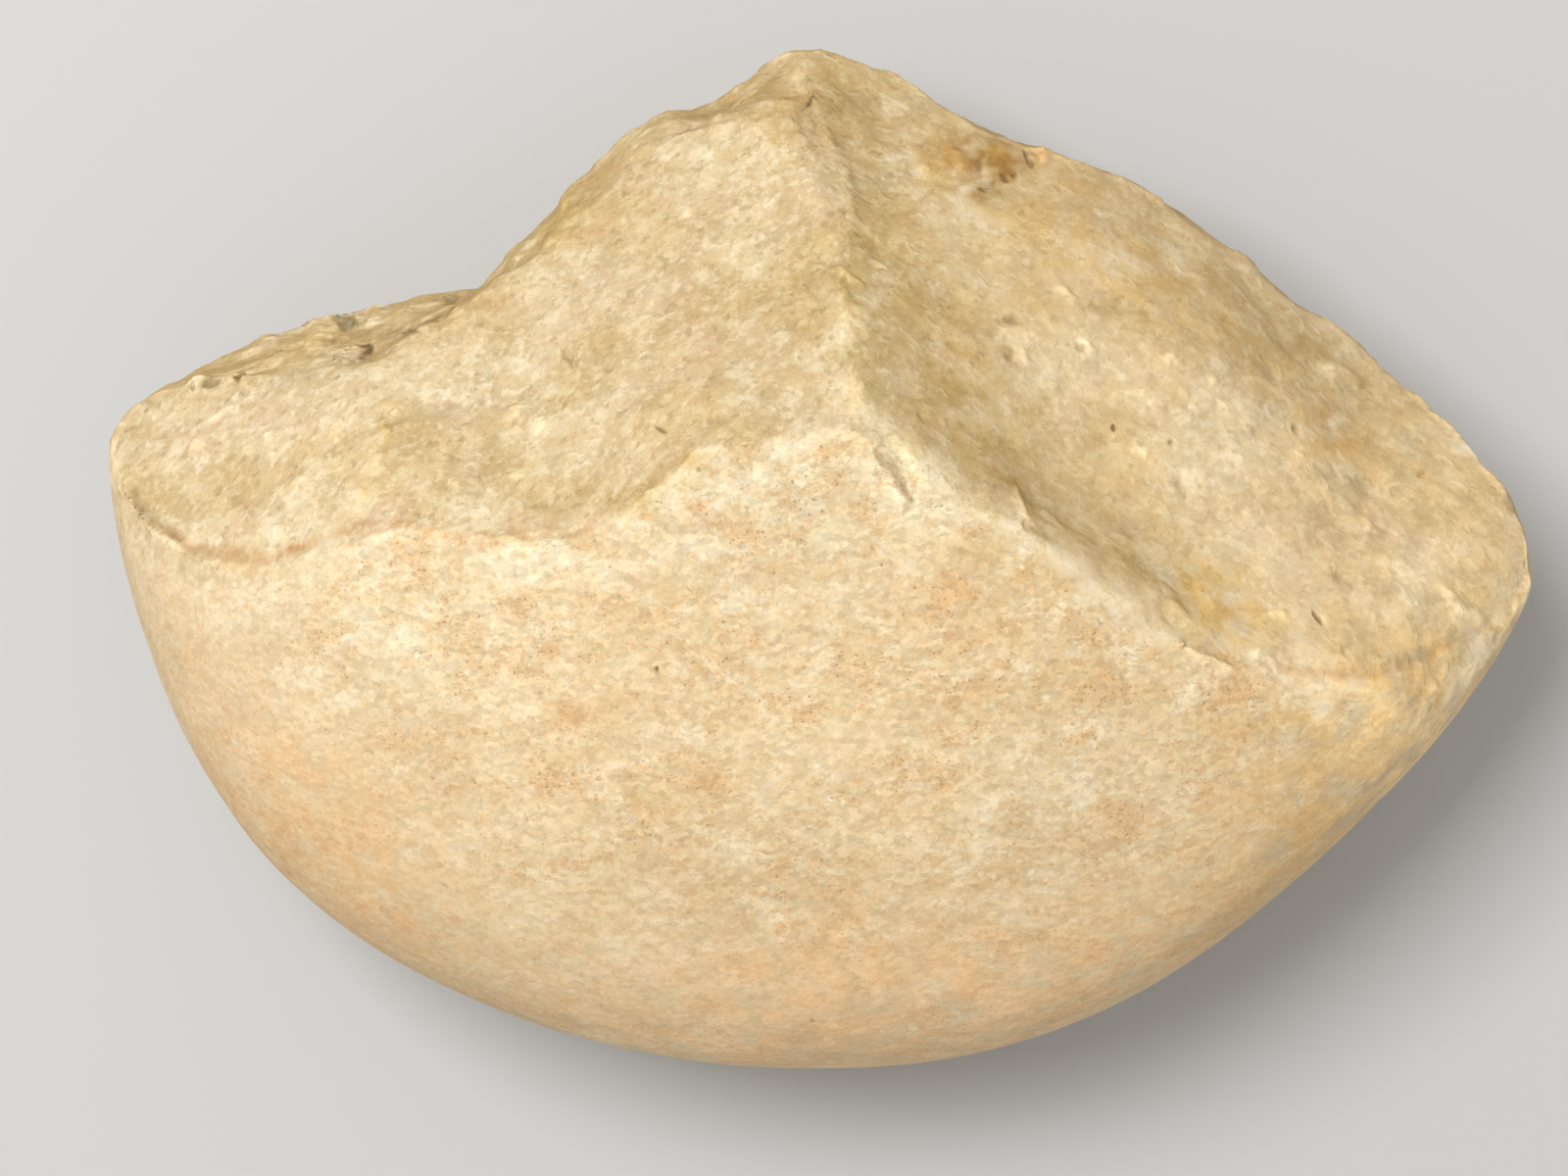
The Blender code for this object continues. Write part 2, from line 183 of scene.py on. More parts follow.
STROKES = (
    Stroke("groove", ((4.0, 8.4), (5.4, 7.0), (6.4, 5.3), (7.0, 4.4)), 0.42, -0.70, GROOVE_SHADE, 0.95),
    Stroke("groove_end", ((7.0, 4.6), (6.9, 3.8), (6.6, 3.3)), 0.30, -0.25, SHADE, 0.5),
    Stroke("groove_lip", ((5.0, 9.0), (6.3, 8.1), (7.5, 6.7), (8.2, 5.2)), 0.80, 0.12, PALE_AND_HIGHLIGHT, 0.6),
    Stroke("groove_hollow", ((5.2, 8.4), (6.2, 7.3), (6.9, 6.4)), 0.45, -0.30, SHADE, 0.6),
    Stroke("chip_lip", ((15.7, 5.6), (15.8, 4.5), (15.9, 3.6), (16.8, 2.5)), 0.42, 0.22, PALE_AND_HIGHLIGHT, 1.2),
    Stroke("chip_hollow", ((16.9, 5.4), (17.0, 4.2), (17.7, 3.2)), 0.80, -0.12, SHADE, 0.4),
    Stroke("ridge_crest", ((1.5, 21.2), (1.8, 17.9), (2.2, 14.6), (2.7, 12.2), (3.2, 10.0)), 0.9, 0.1,
           PALE_AND_HIGHLIGHT, 0.7),
    Stroke("shoulder_pit", ((23.7, 10.7), (23.9, 10.2)), 0.24, -0.40, PIT_DARK, 0.8),
    Stroke("round_pit", ((29.2, 5.8),), 0.42, -0.30, SHADE, 0.9),
    Stroke("long_pit", ((40.1, -4.4), (40.6, -5.5)), 0.28, -0.50, PIT_DARK, 1.1),
    Stroke("small_pit_a", ((35.9, 10.2),), 0.36, -0.30, SHADE, 0.8),
    Stroke("small_pit_b", ((39.3, 10.6),), 0.34, -0.30, SHADE, 0.8),
    Stroke("small_pit_c", ((50.6, 7.2), (50.8, 6.8)), 0.45, -0.30, SHADE, 0.7),
    Stroke("small_pit_d", ((28.7, 9.4),), 0.22, -0.25, PIT_DARK, 0.7),
    Stroke("faint_cut", ((41.8, -0.9), (42.6, -2.0)), 0.22, -0.14, SHADE, 0.6),
    Stroke("low_cut", ((42.3, -7.4), (42.9, -8.4)), 0.30, -0.25, SHADE, 0.5),
    Stroke("butt_pit", ((-13.45, -8.9), (-13.35, -9.3)), 0.15, -0.30, PIT_DARK, 1.3),
    Stroke("low_pit", ((-0.8, -38.2), (-0.5, -38.2)), 0.22, -0.25, PIT_DARK, 0.8),
    Stroke("rind_pit", ((23.8, -9.6),), 0.16, -0.20, RUSSET, 0.9),
    Stroke("step_pit", ((-9.9, 7.0), (-10.0, 6.7)), 0.15, -0.20, RUSSET, 0.8),
    Stroke("ridge_rim", ((2.3, 24.0), (2.1, 29.1), (1.2, 33.1), (0.6, 34.7), (0.1, 36.2), (-0.8, 37.3)),
           1.00, 0.40, PALE_AND_HIGHLIGHT, 0.15, 3.0),
    Stroke("tip_rim", ((-0.9, 37.2), (-2.5, 37.7), (-4.1, 38.0), (-6.0, 37.5), (-7.9, 36.5),
           (-9.9, 35.7)), 0.80, 0.34, PALE_AND_HIGHLIGHT, 0.30, 2.2),
    Stroke("tip_crack", ((-1.5, 37.6), (-1.1, 38.1), (-0.7, 38.8)), 0.12, -0.20, (0.46, 0.44, 0.36), 0.9),
    Stroke("rust_lump", ((13.8, 34.3), (15.2, 33.9), (16.3, 33.5)), 1.20, 0.32, (1.02, 1.00, 1.04), 0.7),
    Stroke("rust_notch", ((13.4, 33.6), (13.1, 32.9), (13.2, 32.2)), 0.30, -0.24, (0.70, 0.56, 0.40),
           0.9),
    Stroke("rust_spot_a", ((15.0, 31.9), (15.7, 31.6)), 0.32, -0.20, (0.58, 0.46, 0.34), 1.0),
    Stroke("rust_spot_b", ((16.0, 32.1), (16.5, 32.1)), 0.24, -0.16, (0.62, 0.50, 0.38), 0.9),
    # painted shadow below the rust lump, in a shallow cut
    Stroke("rust_foot_shadow", ((14.5, 31.4), (13.9, 31.0), (13.3, 30.7)), 0.42, -0.26, (0.60, 0.57, 0.46), 1.0),
    Stroke("edge_crack", ((17.2, 34.3), (17.4, 33.5), (17.7, 32.8)), 0.20, -0.40, (0.52, 0.46, 0.36),
           1.0),
    Stroke("edge_lump", ((18.2, 33.9), (19.0, 33.5)), 0.70, 0.30, (1.18, 1.06, 1.02), 0.9),
    Stroke("ochre_lump", ((10.7, 34.7), (11.3, 33.6), (12.2, 32.0)), 0.85, 0.25, (1.06, 1.00, 0.84), 0.8),
    Stroke("pale_lump", ((8.5, 32.9), (8.7, 31.8)), 0.80, 0.24, PALE_AND_HIGHLIGHT, 0.7),
    Stroke("ridge_streak", ((1.4, 23.4), (2.3, 22.6), (3.3, 21.7)), 0.40, 0.26, PALE_AND_HIGHLIGHT, 1.0),
    Stroke("shoulder_streak", ((19.2, 22.2), (19.9, 21.8), (20.6, 21.3)), 0.50, 0.24, PALE_AND_HIGHLIGHT, 0.9),
    Stroke("shoulder_shade", ((21.3, 21.1), (22.6, 20.7), (23.9, 20.5), (25.8, 20.2)), 0.7, -0.2, SHADE,
           0.7),
    Stroke("trough_curve", ((14.6, 19.6), (15.7, 19.3), (16.6, 18.8)), 0.50, -0.24, SHADE, 0.8),
    Stroke("trough_lip", ((14.4, 18.4), (15.8, 18.2), (17.5, 18.0)), 0.50, 0.22, PALE_AND_HIGHLIGHT, 0.8),
    Stroke("hollow_a", ((15.4, 16.4),), 0.60, -0.30, SHADE, 0.6),
    Stroke("hollow_a_lip", ((15.9, 16.8), (16.8, 15.9)), 0.45, 0.26, PALE_AND_HIGHLIGHT, 0.9),
    Stroke("hollow_b", ((21.0, 17.5), (21.3, 17.0)), 0.42, -0.32, SHADE, 0.7),
    Stroke("hollow_b_lip", ((21.4, 18.0), (21.9, 17.2), (22.6, 17.1)), 0.42, 0.24, PALE_AND_HIGHLIGHT, 0.9),
    Stroke("fleck_a", ((28.3, 16.6), (28.9, 16.1)), 0.50, 0.18, PALE_AND_HIGHLIGHT, 1.0),
    Stroke("fleck_b", ((29.5, 13.7), (30.2, 13.2)), 0.50, 0.18, PALE_AND_HIGHLIGHT, 1.0),
    Stroke("fleck_c", ((32.9, 12.9), (33.4, 11.9)), 0.50, 0.20, PALE_AND_HIGHLIGHT, 1.0),
    Stroke("fleck_d", ((25.4, 9.0), (26.3, 8.2)), 0.60, 0.20, PALE_AND_HIGHLIGHT, 0.9),
    Stroke("fleck_e", ((31.9, 14.7), (32.6, 14.3)), 0.50, 0.16, PALE_AND_HIGHLIGHT, 0.8),
    Stroke("fleck_f", ((47.4, 11.2), (47.9, 10.7)), 0.60, 0.18, PALE_AND_HIGHLIGHT, 0.7),
    Stroke("flank_worm", ((41.8, 16.1), (43.4, 15.5), (45.2, 15.2), (45.1, 14.5)), 0.75, 0.34, PALE_AND_HIGHLIGHT, 1.0),
    Stroke("end_fleck_a", ((45.6, 4.6), (45.2, 3.3), (45.1, 2.1), (45.8, 2.0)), 0.60, 0.22, PALE_AND_HIGHLIGHT, 0.9),
    Stroke("end_fleck_b", ((51.8, 4.0), (52.1, 2.5)), 0.70, 0.22, PALE_AND_HIGHLIGHT, 0.9),
    Stroke("flank_line", ((34.5, 3.8), (35.8, 3.9), (37.0, 3.7)), 0.32, 0.16, PALE_AND_HIGHLIGHT, 0.8),
    Stroke("flank_short", ((39.4, 8.7), (40.0, 8.2)), 0.35, 0.18, PALE_AND_HIGHLIGHT, 0.8),
    Stroke("crest_streak", ((50.6, -2.4), (52.3, -3.6), (53.8, -4.8), (55.2, -5.8)), 0.65, 0.42, PALE_AND_HIGHLIGHT,
           1.0),
    Stroke("foot_blob", ((28.0, -4.0), (29.1, -5.6)), 0.85, 0.24, PALE_AND_HIGHLIGHT, 0.9),
    Stroke("foot_curve", ((36.5, -4.4), (37.4, -4.8), (37.9, -5.4)), 0.36, 0.20, PALE_AND_HIGHLIGHT, 0.9),
    Stroke("foot_fleck", ((34.8, -7.6), (35.3, -8.0)), 0.50, 0.20, PALE_AND_HIGHLIGHT, 1.0),
    Stroke("foot_line", ((29.8, -7.0), (30.9, -7.4), (31.8, -7.9), (33.3, -8.9)), 0.45, -0.26,
           RUSSET_SOFT, 0.8),
    Stroke("foot_line_on", ((34.1, -8.5), (36.0, -8.8), (37.7, -9.1), (38.9, -9.4), (42.2, -9.5),
           (45.2, -9.4), (49.2, -8.4), (52.5, -7.1), (53.8, -6.0)), 0.55, -0.14, RUSSET_SOFT, 0.8),
    Stroke("foot_pale", ((35.0, -10.3), (36.9, -10.5), (38.8, -10.7), (44.0, -11.0)), 0.7, 0.05, PALE_AND_HIGHLIGHT,
           0.7),
    Stroke("band_ledge", ((-15.4, 35.6), (-13.7, 36.0), (-11.9, 36.1), (-10.6, 35.8)), 0.45, 0.4, SHADE,
           0.7, 2.0),
    Stroke("ledge_a", ((-20.9, 17.4), (-20.9, 16.4), (-20.8, 15.6)), 0.28, -0.32, SHADE, 0.8),
    Stroke("ledge_a_lip", ((-21.4, 17.3), (-21.4, 15.6)), 0.36, 0.16, PALE_AND_HIGHLIGHT, 0.5),
    Stroke("ledge_b", ((-18.2, 15.7), (-17.0, 15.1)), 0.26, -0.20, SHADE, 0.5),
    Stroke("ledge_c", ((-13.4, 10.4), (-12.4, 9.9)), 0.16, -0.20, PIT_DARK, 0.9),
    Stroke("ledge_d", ((-35.7, 6.6), (-35.6, 7.7), (-35.3, 9.2), (-35.7, 10.7), (-36.2, 11.7)), 0.34,
           0.22, OCHRE, 0.8, 1.6),
    Stroke("ledge_d_cap", ((-36.1, 12.3), (-35.3, 12.4), (-34.4, 12.2)), 0.50, 0.20, PALE_AND_HIGHLIGHT, 0.9),
    Stroke("ledge_e", ((-37.2, 4.3), (-36.9, 5.5)), 0.34, 0.2, OCHRE, 0.8, 1.0),
    Stroke("left_fleck_a", ((-24.7, 11.1), (-24.9, 11.9), (-25.4, 12.5)), 0.42, 0.26, PALE_AND_HIGHLIGHT, 1.0, 0.9),
    Stroke("left_fleck_b", ((-22.9, 9.8), (-22.9, 10.8), (-23.7, 11.4)), 0.50, 0.20, PALE_AND_HIGHLIGHT, 0.7, 1.2),
    Stroke("left_fleck_c", ((-24.4, 5.6), (-24.0, 6.2), (-24.9, 6.5)), 0.42, 0.22, PALE_AND_HIGHLIGHT, 1.0, 0.8),
    Stroke("left_fleck_d", ((-30.0, 6.0), (-29.2, 5.4)), 0.42, 0.20, PALE_AND_HIGHLIGHT, 0.9),
    Stroke("left_fleck_e", ((-11.4, 28.2), (-10.9, 29.0)), 0.45, 0.16, PALE_AND_HIGHLIGHT, 0.9),
    Stroke("end_lip_a", ((-51.0, 11.2), (-49.4, 12.3), (-48.2, 12.6)), 0.55, 0.24, PALE_AND_HIGHLIGHT, 0.9),
    Stroke("end_lip_b", ((-52.6, 9.7), (-51.2, 9.2)), 0.60, 0.20, PALE_AND_HIGHLIGHT, 0.8),
    Stroke("end_lip_c", ((-46.5, 10.6), (-45.2, 9.7)), 0.55, 0.20, PALE_AND_HIGHLIGHT, 0.8),
    Stroke("end_lip_d", ((-40.2, 11.0), (-39.6, 9.4)), 0.70, 0.20, PALE_AND_HIGHLIGHT, 0.9),
    Stroke("end_lip_e", ((-43.8, 5.2), (-42.6, 6.0), (-42.0, 7.2)), 0.40, 0.18, PALE_AND_HIGHLIGHT, 0.7),
    Stroke("end_lip_f", ((-48.8, 3.2), (-47.6, 3.9)), 0.40, 0.18, PALE_AND_HIGHLIGHT, 0.7),
    Stroke("end_chip", ((-57.2, 5.6), (-55.7, 3.7), (-53.6, 2.1), (-52.4, 1.3)), 0.50, -0.24, SHADE, 0.8),
    Stroke("end_step", ((-54.5, 2.4), (-51.6, 0.9), (-48.8, 0.2), (-45.2, -0.2), (-43.2, 0.3),
           (-41.2, 1.2)), 0.62, -0.22, RUSSET_SOFT, 1.15),
    Stroke("end_step_on", ((-43.0, 0.4), (-41.6, 1.0), (-39.4, 1.8), (-36.4, 2.5), (-34.1, 2.7),
           (-31.2, 2.0)), 0.70, -0.14, RUSSET_SOFT, 0.95),
    Stroke("border_notch", ((-29.8, 1.6), (-28.2, 0.7), (-26.2, 1.2)), 1.10, -0.12, RUSSET_SOFT, 0.9),
    Stroke("border_ochre", ((-24.8, 2.3), (-23.8, 1.9), (-23.1, 0.8)), 0.55, -0.20, OCHRE, 0.9),
    Stroke("border_brown", ((-20.4, 1.6), (-19.1, 2.1), (-17.8, 2.7)), 0.75, -0.14, RUSSET_SOFT, 0.8),
    Stroke("border_step", ((-5.0, 9.0), (-7.5, 8.5), (-9.3, 8.0), (-10.2, 7.5), (-11.4, 6.3),
           (-13.1, 5.4), (-14.7, 4.4), (-16.4, 3.6), (-17.9, 2.7)), 0.45, 0.26, PALE_AND_HIGHLIGHT, 0.25, 1.6),
    Stroke("border_step_left", ((-17.9, 2.7), (-20.1, 2.3), (-21.8, 1.8), (-23.8, 1.9), (-25.8, 1.3),
           (-27.5, 0.7), (-29.1, 0.7), (-30.3, 1.5), (-32.0, 2.3), (-34.1, 2.5), (-36.5, 2.3),
           (-39.0, 1.7), (-41.0, 1.0)), 0.42, 0.20, PALE_AND_HIGHLIGHT, 0.20, 1.3),
    Stroke("border_step_top", ((2.3, 11.2), (0.9, 9.9), (-1.5, 9.3), (-4.6, 8.9), (-6.0, 8.8)), 0.42,
           0.16, PALE_AND_HIGHLIGHT, 0.20, 1.3),
    Stroke("border_shade", ((-10.6, 8.0), (-11.8, 6.8), (-13.4, 5.9), (-15.0, 4.9), (-16.7, 4.1),
           (-18.0, 3.3)), 0.75, -0.06, (0.86, 0.80, 0.68), 0.9),
    Stroke("band_lump_a", ((-43.6, 18.5), (-41.9, 19.0)), 1.70, 0.45, (1.10, 1.12, 1.16), 0.8),
    Stroke("band_lump_b", ((-38.4, 20.2), (-36.9, 20.6)), 1.30, 0.50, (1.10, 1.12, 1.16), 0.8),
    Stroke("band_hole_a", ((-41.2, 20.4), (-40.3, 20.1), (-39.4, 19.8)), 0.62, -0.75, HOLE_GREEN_DARK, 1.1),
    Stroke("band_hole_b", ((-39.7, 16.5), (-38.5, 16.6), (-37.7, 17.0), (-37.8, 17.6), (-38.7, 17.8)),
           0.30, -0.45, PIT_DARK, 1.0),
    Stroke("band_hole_c", ((-48.9, 15.1), (-48.2, 15.3)), 0.42, -0.45, PIT_DARK, 1.0),
    Stroke("band_hole_d", ((-51.6, 14.3), (-50.5, 14.7)), 0.50, -0.35, HOLE_GREEN_DARK, 0.7),
    Stroke("band_hole_e", ((-31.6, 21.6), (-30.5, 21.9)), 0.50, -0.50, PIT_DARK, 0.7),
    Stroke("band_hole_f", ((-52.9, 14.0), (-52.6, 14.2)), 0.22, -0.25, PIT_DARK, 0.8),
    Stroke("band_shade", ((-41.0, 18.8), (-40.7, 17.8)), 0.55, -0.25, SHADE, 0.8),
    Stroke("band_cleft", ((-35.0, 18.6), (-34.2, 18.9), (-33.6, 18.7)), 0.28, -0.35, PIT_DARK, 0.7),
    Stroke("band_cleft_on", ((-33.0, 19.1), (-32.0, 19.8), (-30.6, 20.6)), 0.26, -0.30, PIT_DARK, 0.5),
)

STAINS = (
    Stain("rust_at_brink", (14.1, 33.3), 3.4, 2.1, -18, (0.55, 0.43, 0.20), 1.1),
    Stain("ochre_by_rust", (10.4, 33.5), 3.0, 2.2, 0, (0.98, 0.90, 0.72), 0.9),
    Stain("brown_under_rust", (11.6, 30.5), 1.8, 0.9, 0, (0.84, 0.74, 0.62), 0.8),
    # painted shadow below the rust lump
    Stain("shadow_under_rust", (13.9, 29.9), 2.0, 1.0, -20, (0.76, 0.75, 0.66), 0.9),
    Stain("tip_tan", (-1.5, 39.5), 9.0, 4.0, -12, (0.86, 0.82, 0.71), 1.0),
    Stain("top_edge_sand", (23.0, 26.5), 14.0, 4.5, -33, (0.93, 0.86, 0.70), 1.0),
    Stain("band_sand", (-30.0, 22.0), 6.0, 3.0, 26, (0.98, 0.94, 0.82), 0.8),
    Stain("band_dirt", (-36.8, 18.2), 3.5, 1.1, 20, (0.84, 0.80, 0.68), 0.8),
    Stain("trough_olive", (10.0, 13.0), 16.0, 5.5, -48, OLIVE, 0.8),
    Stain("trough_olive_up", (7.5, 27.0), 6.0, 10.0, 0, OLIVE, 0.30),
    Stain("right_sand", (28.0, 14.0), 36.0, 20.0, -30, (1.0, 0.95, 0.84), 1.0),
    Stain("trough_shade", (13.6, 17.6), 3.2, 1.6, -20, (0.88, 0.84, 0.74), 0.9),
    Stain("shoulder_pale", (24.0, 14.6), 7.0, 3.6, -35, (1.06, 1.10, 1.16), 0.9),
    Stain("flank_hollow", (42.8, 10.9), 3.2, 2.3, -40, (0.78, 0.71, 0.57), 1.0),
    Stain("ridge_side_pale", (0.2, 31.0), 1.6, 6.0, 0, PALE_AND_HIGHLIGHT, 0.2),
    Stain("upper_olive", (36.0, 17.4), 10.0, 5.0, -32, (0.90, 0.87, 0.78), 0.9),
    Stain("upper_grey", (41.7, 18.2), 4.5, 1.8, -38, (0.80, 0.78, 0.72), 0.9),
    # painted light lifting the right flank and the right end; the flank is also paler
    Stain("pale_lit_flank", (36.0, 8.0), 19.0, 9.0, -42, (1.17, 1.24, 1.44), 1.0),
    Stain("lit_right_end", (50.0, 4.0), 9.0, 13.0, -10, (1.12, 1.12, 1.12), 1.0),
    Stain("foot_ochre", (32.5, -3.6), 5.0, 3.2, -38, (1.0, 0.86, 0.56), 1.0),
    Stain("band_ochre", (-21.0, 28.0), 4.0, 3.0, 40, (0.99, 0.95, 0.78), 1.0),
    Stain("band_left_pale", (-43.5, 18.2), 5.0, 1.4, 20, (1.14, 1.16, 1.15), 1.0),
    Stain("far_edge_ochre", (42.0, 10.5), 5.0, 3.0, -38, (1.02, 0.94, 0.76), 0.9),
    Stain("rind_peak", (-3.0, 4.0), 9.0, 5.0, 0, (0.94, 1.01, 1.09), 1.0),
    Stain("left_end_pale", (-38.0, 8.0), 16.0, 6.0, 8, (1.05, 1.06, 1.04), 1.0),
    Stain("foot_brown", (32.6, -4.1), 0.6, 0.5, 0, (0.72, 0.55, 0.38), 0.9),
    Stain("foot_olive", (30.9, -1.7), 3.6, 1.1, 2, (0.87, 0.85, 0.76), 0.9),
    Stain("foot_rose", (42.0, -9.9), 12.0, 0.8, -2, ROSE, 0.7),
    Stain("border_olive", (-13.5, 5.0), 5.2, 1.3, 36, (0.94, 0.88, 0.72), 0.9),
    Stain("border_sand", (-9.0, 8.6), 8.0, 3.0, 28, (0.94, 0.91, 0.84), 0.8),
    Stain("ridge_specks_a", (0.6, 21.6), 1.9, 1.0, -20, GREY, 0.7),
    Stain("ridge_specks_b", (1.9, 15.6), 0.9, 1.3, 0, GREY, 0.8),
    Stain("tip_pale", (-2.1, 40.4), 1.1, 1.8, 0, PALE_AND_HIGHLIGHT, 1.0),
    Stain("corner_pale", (5.5, 9.0), 3.6, 1.8, -38, PALE_AND_HIGHLIGHT, 0.6),
    Stain("rind_peach_a", (-19.0, -14.0), 11.0, 6.0, 10, ROSE, 0.5),
    Stain("rind_peach_b", (3.0, -19.0), 10.0, 5.0, -10, ROSE, 0.5),
    Stain("rind_peach_c", (13.0, -5.0), 7.0, 2.6, -25, ROSE, 0.6),
    Stain("rind_ochre", (35.5, -13.4), 7.0, 2.2, -8, (0.94, 0.86, 0.72), 0.9),
    Stain("rind_olive", (40.0, -20.0), 16.0, 4.5, 52, (0.93, 0.91, 0.80), 0.7),
    Stain("rind_grey", (22.0, -20.0), 9.0, 6.0, 30, (0.97, 0.96, 0.98), 0.8),
    # painted light lifting the rind at its right end and low on the right, with a warmer tone
    Stain("rind_end_painted_light", (49.0, -16.0), 11.0, 9.0, 45, (1.34, 1.26, 1.10), 1.0),
    Stain("rind_low_right_painted_light", (35.0, -27.0), 12.0, 8.0, 35, (1.10, 1.01, 0.92), 1.0),
    Stain("rind_left", (-39.0, -9.0), 12.0, 8.0, 0, (1.05, 1.14, 1.27), 1.0),
    Stain("rind_low_left", (-42.0, -22.0), 16.0, 9.0, -52, (1.06, 0.90, 0.77), 1.0),
    Stain("rind_low", (4.0, -37.0), 26.0, 7.0, 4, (1.20, 1.04, 0.94), 1.0),
)


def smooth_step(low, high, values):
    """Rises from 0 at low to 1 at high, with soft ends. Low may be the larger."""
    share = np.clip((values - low) / (high - low), 0.0, 1.0)
    return share * share * (3.0 - 2.0 * share)


def noise_at(points, size, seed=0.0):
    """Soft noise from about -1 to 1 at each point, with swells of about this size."""
    return np.array([noise.noise(Vector(place)) for place in points / size + seed])


def stretched(points, turn_deg, stretch):
    """The points in a frame that draws what is laid on them out along one direction in plan."""
    turn = math.radians(turn_deg)
    along = points[:, 0] * math.cos(turn) + points[:, 1] * math.sin(turn)
    across = points[:, 1] * math.cos(turn) - points[:, 0] * math.sin(turn)
    return np.stack((along / stretch, across, points[:, 2]), axis=1)


def scalloped(points, size, seed=0.0):
    """Bowls side by side with sharp ridges between them, as small flakes leave: 0 to about 1."""
    places = points / size + seed
    nearest = np.array([noise.voronoi(Vector(place))[0][0] for place in places])
    return nearest ** 1.5


def neighbours_of(edges, count):
    """Each point's neighbours, filled up with the point itself, and how many they are."""
    here = np.concatenate((edges[:, 0], edges[:, 1]))
    there = np.concatenate((edges[:, 1], edges[:, 0]))
    order = np.argsort(here, kind="stable")
    here = here[order]
    there = there[order]
    numbers = np.bincount(here, minlength=count)
    place_in_row = np.arange(len(here)) - np.repeat(np.cumsum(numbers) - numbers, numbers)
    table = np.repeat(np.arange(count)[:, None], numbers.max(), axis=1)
    table[here, place_in_row] = there
    return table, numbers


def worn(points, normals, neighbours, reach):
    """The surface rounded off over about this many millimetres, each point along its own normal."""
    table, numbers = neighbours
    runs = ((points[table] - points[:, None]) ** 2).sum(axis=(1, 2)) / MM ** 2
    spread = runs / numbers
    finest = np.percentile(spread, FINEST_PERCENT)
    rounds = min(math.ceil(reach ** 2 / finest / USUAL_EASE), MOST_WEAR_ROUNDS)
    ease = np.minimum(reach ** 2 / spread / rounds, MOST_EASE) / numbers
    filled = table.shape[1]
    for _ in range(rounds):
        move = ((points[table].sum(axis=1) - filled * points) * normals).sum(axis=1)
        points = points + (ease * move)[:, None] * normals
    return points


def rind_depth(points):
    """How far each point is under the cobble's own worn surface, in millimetres."""
    arm = points - COBBLE_MIDDLE
    length = np.linalg.norm(arm, axis=1)
    way = arm / length[:, None]
    lean = math.radians(LEAN_DEG)
    along = np.abs(way[:, 0] / COBBLE_HALF[0])
    broad = np.abs((math.cos(lean) * way[:, 1] + math.sin(lean) * way[:, 2]) / COBBLE_HALF[1])
    thick = np.abs((math.cos(lean) * way[:, 2] - math.sin(lean) * way[:, 1]) / COBBLE_HALF[2])
    plan = along ** PLAN_FULLNESS + broad ** PLAN_FULLNESS
    section = plan ** (SECTION_FULLNESS / PLAN_FULLNESS) + thick ** SECTION_FULLNESS
    nearness = section ** (WEAR_SHARPNESS / SECTION_FULLNESS)
    for bearing, distance in WORN_FACES:
        turn = math.radians(bearing)
        towards = np.maximum(0.0, math.cos(turn) * way[:, 0] + math.sin(turn) * way[:, 1])
        nearness += (towards / (distance * COBBLE_HALF[0])) ** WEAR_SHARPNESS
    return (nearness ** (-1 / WEAR_SHARPNESS) - length) / MM


def along_path(path, x, y):
    """Each place's distance from a path in plan, its share of the way along it, and its side."""
    best = np.full(len(x), np.inf)
    share = np.full(len(x), 0.5)
    side = np.zeros(len(x))
    corners = np.array(path if len(path) > 1 else path * 2, dtype=float)
    runs = np.diff(corners, axis=0)
    lengths = np.maximum(np.hypot(runs[:, 0], runs[:, 1]), 1e-6)
    done = 0.0
    for (start_x, start_y), (run_x, run_y), length in zip(corners, runs, lengths):
        part = ((x - start_x) * run_x + (y - start_y) * run_y) / length ** 2
        part = np.clip(part, 0.0, 1.0)
        off_x = x - start_x - part * run_x
        off_y = y - start_y - part * run_y
        distance = np.hypot(off_x, off_y)
        nearer = distance < best
        best = np.where(nearer, distance, best)
        if len(path) > 1:
            share = np.where(nearer, (done + part * length) / lengths.sum(), share)
        side = np.where(nearer, run_x * off_y - run_y * off_x, side)
        done += length
    return best, np.clip(share, 0.0, 1.0), side


def out_on_solid(tree, place):
    """The point of the solid that a point of the cube's grid stands for."""
    even = [math.tan(value * math.pi / 4) for value in place]
    way = Vector(value * half for value, half in zip(even, COBBLE_HALF)).normalized()
    return tree.ray_cast(HEART, way)[0]


def distance_to(others, points):
    """The distance from each point to the nearest of some others, in millimetres."""
    tree = KDTree(len(others))
    for number, place in enumerate(others):
        tree.insert(place, number)
    tree.balance()
    return np.array([tree.find(place)[2] for place in points]) / MM


def wanted_spacing(spots, up):
    """How far apart the mesh's points should lie at each place, in millimetres."""
    struck = rind_depth(spots) > STRUCK_DEPTH
    front = up > -0.1
    border = np.zeros(len(spots), dtype=bool)
    border[front & ~struck] = distance_to(spots[front & struck], spots[front & ~struck]) < BORDER_ROOM
    wanted = np.where(struck, BACK_SPACING, RIND_SPACING)
    wanted[front & (struck | border)] = FRONT_SPACING
    for mark in STROKES:
        distance, _, _ = along_path(mark.path, spots[:, 0] / MM, spots[:, 1] / MM)
        spacing = np.clip(SPACING_BY_WIDTH * mark.width, FINEST_SPACING, COARSEST_AT_MARKS)
        at_mark = (distance < ROOM_BY_WIDTH * mark.width + LEAST_ROOM) & (up > 0.1)
        wanted[at_mark] = np.minimum(wanted[at_mark], spacing)
    return wanted


